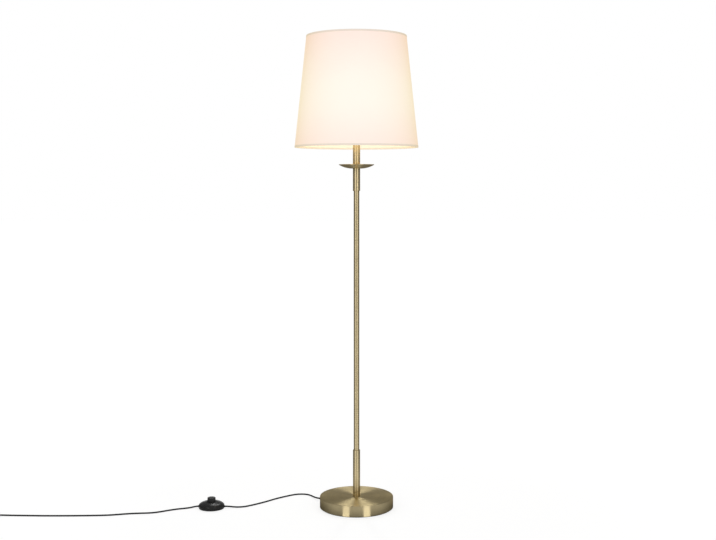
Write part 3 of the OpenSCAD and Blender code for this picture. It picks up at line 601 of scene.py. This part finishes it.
# ---------- Shade ----------
# Cream cloth laminated to a stiff film and rolled into a cone, with a glued seam at the back. A
# tape of the same cloth is folded round each rim wire. The bulb inside makes the cloth glow.
low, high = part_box("shade_bottom_hem")
SHADE_Z, SHADE_BOTTOM_R = low[2], high[0]
SHADE_TOP_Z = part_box("shade_top_hem")[1][2]
SHADE_TOP_R = 0.157
TAPE_T, TAPE_GAP, CLOTH_T = 0.0004, 0.00005, 0.0008
TAPE_LEG, TAPE_REACH, TAPE_EDGE_R = 0.006, 0.0048, 0.0001
THREAD = 0.0006
SEAM_AT, SEAM_W, SEAM_RISE, SEAM_STEP_W = math.radians(90), 0.010, 0.00035, 0.0008
GLOW_REACH = 0.21
INSIDE_GLOW = (0.84, 0.75, 0.52)


def shade_r(z):
    """Radius of the cone's outer face at a height: even between the two rims."""
    return SHADE_BOTTOM_R + (SHADE_TOP_R - SHADE_BOTTOM_R) * (z - SHADE_Z) / (SHADE_TOP_Z - SHADE_Z)


def plain_weave_group():
    """Warp and weft as sine ridges that take turns on top, with thick and thin threads."""
    net, given, result = new_group(
        "plain_weave",
        [("UV", "NodeSocketVector", (0, 0, 0)), ("Thread", "NodeSocketFloat", THREAD)],
        ["Height", "Slub"])
    scale = net.math("DIVIDE", math.pi, given["Thread"])
    split = net.add("SeparateXYZ", Vector=given["UV"])
    across = net.math("SINE", net.math("MULTIPLY", split.outputs["X"], scale))
    along = net.math("SINE", net.math("MULTIPLY", split.outputs["Y"], scale))
    turn = net.math("MULTIPLY", across, along)
    warp = net.math("MULTIPLY", net.math("ABSOLUTE", across),
                    net.math("MULTIPLY_ADD", turn, 0.5, 0.5))
    weft = net.math("MULTIPLY", net.math("ABSOLUTE", along),
                    net.math("MULTIPLY_ADD", turn, -0.5, 0.5))
    net.put(result, "Height", net.math("ADD", warp, weft))
    slubs = []
    for stretch in ((900, 25, 1), (25, 900, 1)):
        place = net.add("VectorMath", {"operation": "MULTIPLY"})
        net.put(place, 0, given["UV"])
        net.put(place, 1, stretch)
        slubs.append(net.noise(place.outputs[0], 1.0, detail=1.0))
    net.put(result, "Slub", net.math("MULTIPLY_ADD", slubs[0], 0.5,
                                     net.math("MULTIPLY", slubs[1], 0.5)))
    return net.tree


PLAIN_WEAVE = plain_weave_group()


def lit_cloth(name, base, rim_glow, middle_glow, inside, strength, thread):
    """Cloth lit from inside, most beside the bulb, with painted bulb light on its inner face.

    The inner face is the one whose normal, in the shade's own space, points to the lamp's axis. The
    coat is the outer layer of threads, which colours what passes at a slant the more.
    """
    material, net, shader, place = new_material(
        name, Base_Color=(*base, 1), Emission_Strength=strength, Sheen_Weight=0.1, Coat_Weight=1.0,
        Coat_Roughness=0.9, Coat_IOR=1.1, Coat_Tint=(0.985, 0.946, 0.793, 1))
    uv = net.add("UVMap", {"uv_map": "around"}).outputs["UV"]
    weave = net.group(PLAIN_WEAVE, UV=uv, Thread=thread)
    above = net.math("SUBTRACT", net.add("SeparateXYZ", Vector=place).outputs["Z"], GLOBE_Z)
    slope = net.math("DIVIDE", above, GLOW_REACH)
    fall = net.math("DIVIDE", 1.0, net.math("MULTIPLY_ADD", slope, slope, 1.0))
    cloud = net.noise(place, 14.0, detail=3.0)
    glow = net.math("ADD", fall, net.math("MULTIPLY_ADD", cloud, 0.10, -0.05))
    glow = net.math("ADD", glow, net.math("MULTIPLY_ADD", weave.outputs["Slub"], 0.16, -0.08))
    normal = net.add("NewGeometry").outputs["True Normal"]
    own_normal = net.add("VectorTransform", {"vector_type": "NORMAL", "convert_from": "WORLD",
                                             "convert_to": "OBJECT"}, Vector=normal)
    facing = net.add("VectorMath", {"operation": "DOT_PRODUCT"})
    net.put(facing, 0, place)
    net.put(facing, 1, own_normal.outputs["Vector"])
    # Painted light: near the bulb's height the inner face takes the inside glow, for the bulb's
    # light falling on it.
    inner = net.math("MULTIPLY", net.spread(facing.outputs["Value"], 1.0, 0.0, -0.01, 0.01),
                     net.spread(fall, 0.0, 1.0, 0.60, 1.0))
    mix = net.add("Mix", {"data_type": "RGBA"})
    net.put(mix, 0, inner)
    net.put(mix, 6, net.ramp(glow, (0.5, rim_glow), (1.0, middle_glow)))
    net.put(mix, 7, (*inside, 1))
    net.put(shader, "Emission Color", mix.outputs[2])
    net.put(shader, "Roughness", net.spread(weave.outputs["Slub"], 0.82, 0.98))
    net.put(shader, "Normal", net.bump(weave.outputs["Height"], 0.5, 0.00012))
    return material


CLOTH = lit_cloth("shade_cloth_lit", (0.66, 0.62, 0.54), (0.74, 0.565, 0.70), (0.77, 0.735, 0.87),
                  INSIDE_GLOW, 0.88, THREAD)
# The tape is the same cloth. Its darker colour is painted shade, and its weaker glow is the light
# that the fold and the rim wire hold back.
TAPE = lit_cloth("shade_tape_lit", (0.56, 0.54, 0.48), (0.62, 0.54, 0.64), (0.62, 0.63, 0.72),
                 INSIDE_GLOW, 0.80, THREAD * 0.7)


def cloth_cone(around=384, rows=40):
    """Outer face up and inner face down, with the outer face raised by a lap over the seam."""
    inset = TAPE_T + TAPE_GAP
    z = np.linspace(SHADE_Z + inset, SHADE_TOP_Z - inset, rows)
    r = np.concatenate([shade_r(z) - inset, (shade_r(z) - inset - CLOTH_T)[::-1]])
    z = np.concatenate([z, z[::-1]])
    a = np.linspace(0, 2 * math.pi, around, endpoint=False)[:, None]
    off = np.abs((a - SEAM_AT + math.pi) % (2 * math.pi) - math.pi) * SHADE_BOTTOM_R
    lap = SEAM_RISE * np.clip((SEAM_W / 2 - off) / SEAM_STEP_W + 0.5, 0, 1)
    r = r + lap * (np.arange(2 * rows) < rows)
    return np.stack([r * np.cos(a), r * np.sin(a), z + 0 * a], -1)


def tape_profile(edge, inward):
    """Tape round a rim: outer leg, fold and inner leg behind the rim wire."""
    tip, fold = edge + inward * TAPE_LEG, edge + inward * TAPE_T
    outer, inner = shade_r(tip), shade_r(tip) - TAPE_REACH
    return rounded(
        [(shade_r(edge) - TAPE_REACH, edge), (shade_r(edge), edge), (outer, tip),
         (outer - TAPE_T, tip), (shade_r(fold) - TAPE_T, fold),
         (shade_r(fold) - TAPE_REACH + TAPE_T, fold), (inner + TAPE_T, tip), (inner, tip)],
        [TAPE_T, TAPE_T, TAPE_EDGE_R, 0, 0, 0, TAPE_EDGE_R, TAPE_EDGE_R], steps=4)


new_piece(surface("shade_cloth", cloth_cone()), CLOTH, "shade_fabric", "shade", "shade_cover")
new_piece(turned("shade_top_tape", tape_profile(SHADE_TOP_Z, -1), around=256), TAPE,
          "shade_tape", "shade", "shade_top_hem")
new_piece(turned("shade_bottom_tape", tape_profile(SHADE_Z, 1), around=256), TAPE,
          "shade_tape", "shade", "shade_bottom_hem")
WHITE_WIRE = moulded("white_powder_coat", (0.78, 0.77, 0.74), (0.84, 0.83, 0.80), (0.35, 0.45),
                     900.0, 0.3)
dress(WHITE_WIRE, "shade_spider", "shade_bottom_ring", "shade_top_ring")


# ---------- Foot switch ----------
# Round two-part switch of glossy black plastic, screwed together from below, on four rubber feet.
# The push button stands in a raised collar, over a wound spring that shortens as it is pressed.
SPRING_WIRE_D, SPRING_TURNS, SPRING_STEPS, BUTTON_TRAVEL = 0.001, 4, 24, 0.004
SWITCH_PLASTIC = moulded("switch_plastic", (0.010, 0.010, 0.010), (0.018, 0.018, 0.018),
                         (0.24, 0.32), 1600.0, 0.08, dust=0.05)
BUTTON_PLASTIC = moulded("button_plastic", (0.018, 0.018, 0.018), (0.030, 0.030, 0.030),
                         (0.28, 0.36), 1600.0, 0.08, dust=0.12)
ROTOR_PLASTIC = moulded("rotor_plastic", (0.66, 0.63, 0.54), (0.74, 0.71, 0.62), (0.4, 0.5),
                        900.0, 0.1)
RUBBER = moulded("foot_rubber", (0.012, 0.012, 0.012), (0.026, 0.026, 0.026), (0.75, 0.9),
                 1200.0, 0.4)
dress(SWITCH_PLASTIC, "switch_base", "switch_cover")
dress(BUTTON_PLASTIC, "switch_button")
dress(ROTOR_PLASTIC, "switch_rotor")
dress(RUBBER, "switch_feet")
dress(ZINC, "switch_screws", "switch_cord_clamps")
dress(BRASS_PLAIN, "switch_contacts")


def helix(low, high, wire, turns):
    """Route of a spring that fills a box: evenly up as it goes round, clear by half its wire."""
    rise = np.linspace(0, 1, SPRING_STEPS * turns + 1)
    a = 2 * math.pi * turns * rise
    middle, r = (low + high) / 2, (high[0] - low[0] - wire) / 2
    return np.stack([middle[0] + r * np.cos(a), middle[1] + r * np.sin(a),
                     low[2] + wire / 2 + (high[2] - low[2] - wire) * rise], 1)


low, high = (np.array(corner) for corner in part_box("switch_spring"))
spring_wire = bar(helix(low, high, SPRING_WIRE_D, SPRING_TURNS), SPRING_WIRE_D / 2, around=12)
spring = new_piece(surface("button_spring", spring_wire, closed=False), ZINC, "zinc_steel",
                   "stand", "switch_spring")
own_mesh(spring)


# ---------- Plug and tie ----------
# Flat two-pin plug moulded on the end of the cord, which lies beside its coil, and the strap that
# holds the turns together.
dress(BLACK_PLASTIC, "plug_body")
dress(NICKEL, "plug_pins")
dress(RUBBER, "cord_tie")


# ---------- Room and light ----------
# A white studio. Two soft boxes in front draw the light stripes on the brass, two strips above and
# behind light the base's top, and the room between them is dimmer. The floor shows white under the
# lamp's shadow. What the brass mirrors of the floor is painted: painted shade next to the base, a
# painted pale ring round it and two painted highlights in front.

# A range holds its two brightnesses, and then the two places between which one goes over into the
# other: metres from the stem on the floor, a part of the direction in the room.
STUDIO_REACH, FLOOR_Z = 30.0, -0.0002
FLOOR_SEEN, FLOOR_UNSEEN = (0.35, 0.35, 0.35, 1), (0.7, 0.7, 0.7, 1)
FLOOR_GLOW = (0.768, 0.85, 0.6, 3.0)
# Painted shade and a painted ring in what the brass mirrors: dark next to the base, brightest just
# beyond, then plain.
FLOOR_RISE, FLOOR_FALL = (0.35, 2.1, 0.15, 0.26), (2.1, 0.75, 0.28, 0.40)
ROOM_ABOVE = (0.0, 0.12, 0.25, 0.9)
SCREEN_SIDES, SCREEN_TOP = (0.0, 1.0, 0.90, 0.94), (1.0, 0.0, 0.17, 0.21)
DIFFUSE_LIFT = 0.20

# Round the lamp, each stop is the cosine of an azimuth and its brightness. On the floor the azimuth
# is taken from the point in front of the stem where the base's round side mirrors the camera.
BASE_FOCUS = 0.061
FLOOR_ROUND = (-1.0, 0.30), (-0.4, 0.26), (0.0, 0.42), (0.50, 0.60), (1.0, 0.60)
# Painted highlights: two bright sectors in front, which the base's round side mirrors.
FLOOR_PAINTED_HIGHLIGHTS = (0.72, 0.0), (0.75, 1.5), (0.915, 1.5), (0.935, 0.0)
ROOM_ROUND = (-1.0, 0.16), (-0.2, 0.16), (0.3, 0.22), (0.80, 0.22), (0.93, 0.28), (1.0, 0.28)

BOX_AZIMUTH_DEG, BOX_DISTANCE, BOX_HEIGHT = 33.0, 3.2, 1.9
BOX_W, BOX_H, BOX_POWER = 1.25, 1.9, 10.5
TOP_BOX_AT, TOP_BOX_W, TOP_BOX_H, TOP_BOX_POWER = (0.44, 2.0, 3.0), 0.22, 1.6, 9.5


def round_the_lamp(net, place, stops):
    """Brightness by the cosine of the azimuth: 1 on the camera's side of the lamp, -1 behind it."""
    split = net.add("SeparateXYZ", Vector=place)
    flat = net.add("CombineXYZ", X=split.outputs["X"], Y=split.outputs["Y"])
    reach = net.add("VectorMath", {"operation": "LENGTH"}, Vector=flat.outputs[0])
    behind = net.math("DIVIDE", split.outputs["Y"], reach.outputs["Value"])
    return net.ramp(net.spread(behind, 1.0, 0.0, -1.0, 1.0), *(
        ((cosine + 1) / 2, (level,) * 3) for cosine, level in stops))


def room_light(net, direction):
    """Brightness of the room by direction, paler overhead, with a white screen behind the lamp."""
    split = net.add("SeparateXYZ", Vector=direction)
    above = net.spread(split.outputs["Z"], *ROOM_ABOVE)
    screen = net.math("MULTIPLY", net.spread(split.outputs["Y"], *SCREEN_SIDES),
                      net.spread(split.outputs["Z"], *SCREEN_TOP))
    room = net.math("ADD", round_the_lamp(net, direction, ROOM_ROUND), above)
    return net.math("MAXIMUM", room, screen)


def floor_white():
    """Floor that the camera sees as white with the lamp's shadow, and that lights the lamp.

    What the brass mirrors of it goes by the azimuth, with painted shade next to the base and a
    painted pale ring just beyond; the two painted highlights in front don't depend on the distance.
    """
    material = bpy.data.materials.new("studio_floor_white")
    material.use_nodes = True
    net = Net(material.node_tree)
    net.tree.nodes.remove(net.tree.nodes["Principled BSDF"])
    path = net.add("LightPath").outputs
    place = net.add("TexCoord").outputs["Object"]
    away = net.add("VectorMath", {"operation": "LENGTH"}, Vector=place).outputs["Value"]

    seen = net.add("AddShader")
    net.put(seen, 0, net.add("BsdfDiffuse", Color=FLOOR_SEEN).outputs[0])
    net.put(seen, 1, net.add("Emission", Strength=net.spread(away, *FLOOR_GLOW)).outputs[0])

    from_focus = net.add("VectorMath", Vector=place)
    net.put(from_focus, 1, (0, BASE_FOCUS, 0))
    plain = round_the_lamp(net, from_focus.outputs[0], FLOOR_ROUND)
    patches = round_the_lamp(net, from_focus.outputs[0], FLOOR_PAINTED_HIGHLIGHTS)
    # Painted shade next to the base, then a painted pale ring.
    painted_shade_and_ring = net.math("MINIMUM", net.spread(away, *FLOOR_RISE), net.spread(away, *FLOOR_FALL))
    mirrored = net.math("MAXIMUM", net.math("MULTIPLY", plain, painted_shade_and_ring), patches)

    other = net.add("MixShader", Fac=net.math("MAXIMUM", path["Is Glossy Ray"],
                                              path["Is Transmission Ray"]))
    net.put(other, 1, net.add("BsdfDiffuse", Color=FLOOR_UNSEEN).outputs[0])
    net.put(other, 2, net.add("Emission", Strength=mirrored).outputs[0])
    shown = net.add("MixShader", Fac=path["Is Camera Ray"])
    net.put(shown, 1, other.outputs[0])
    net.put(shown, 2, seen.outputs[0])
    net.put(net.tree.nodes["Material Output"], "Surface", shown.outputs[0])
    return material


floor_mesh = bpy.data.meshes.new("studio_floor")
corners = [(x * STUDIO_REACH, y * STUDIO_REACH, FLOOR_Z)
           for x, y in ((-1, -1), (1, -1), (1, 1), (-1, 1))]
floor_mesh.from_pydata(corners, [], [(0, 1, 2, 3)])
floor_mesh.materials.append(floor_white())
floor = bpy.data.objects.new("studio_floor", floor_mesh)
bpy.context.collection.objects.link(floor)

world = bpy.data.worlds.new("studio")
bpy.context.scene.world = world
world.use_nodes = True
net = Net(world.node_tree)
path = net.add("LightPath").outputs
room = room_light(net, net.add("TexCoord").outputs["Object"])
room = net.math("MULTIPLY_ADD", path["Is Diffuse Ray"], DIFFUSE_LIFT, room)
background = net.tree.nodes["Background"]
net.put(background, "Color", (1, 1, 1, 1))
net.put(background, "Strength", net.math("MAXIMUM", room, path["Is Camera Ray"]))


def soft_box(name, place, aim, size, power):
    """Rectangular soft box at a place, turned to face a point."""
    data = bpy.data.lights.new(name, "AREA")
    data.shape = "RECTANGLE"
    data.size, data.size_y = size
    data.energy = power
    box = bpy.data.objects.new(name, data)
    box.location = place
    box.rotation_euler = (Vector(aim) - Vector(place)).to_track_quat("-Z", "Y").to_euler()
    bpy.context.collection.objects.link(box)


azimuth = math.radians(BOX_AZIMUTH_DEG)
box_x, box_y = BOX_DISTANCE * math.sin(azimuth), -BOX_DISTANCE * math.cos(azimuth)
top_x, top_y, top_z = TOP_BOX_AT
for side, label in ((-1, "left"), (1, "right")):
    soft_box("soft_box_" + label, (side * box_x, box_y, BOX_HEIGHT), (0, 0, BOX_HEIGHT),
             (BOX_W, BOX_H), BOX_POWER)
    soft_box("top_box_" + label, (side * top_x, top_y, top_z), (0, 0, 0),
             (TOP_BOX_W, TOP_BOX_H), TOP_BOX_POWER)
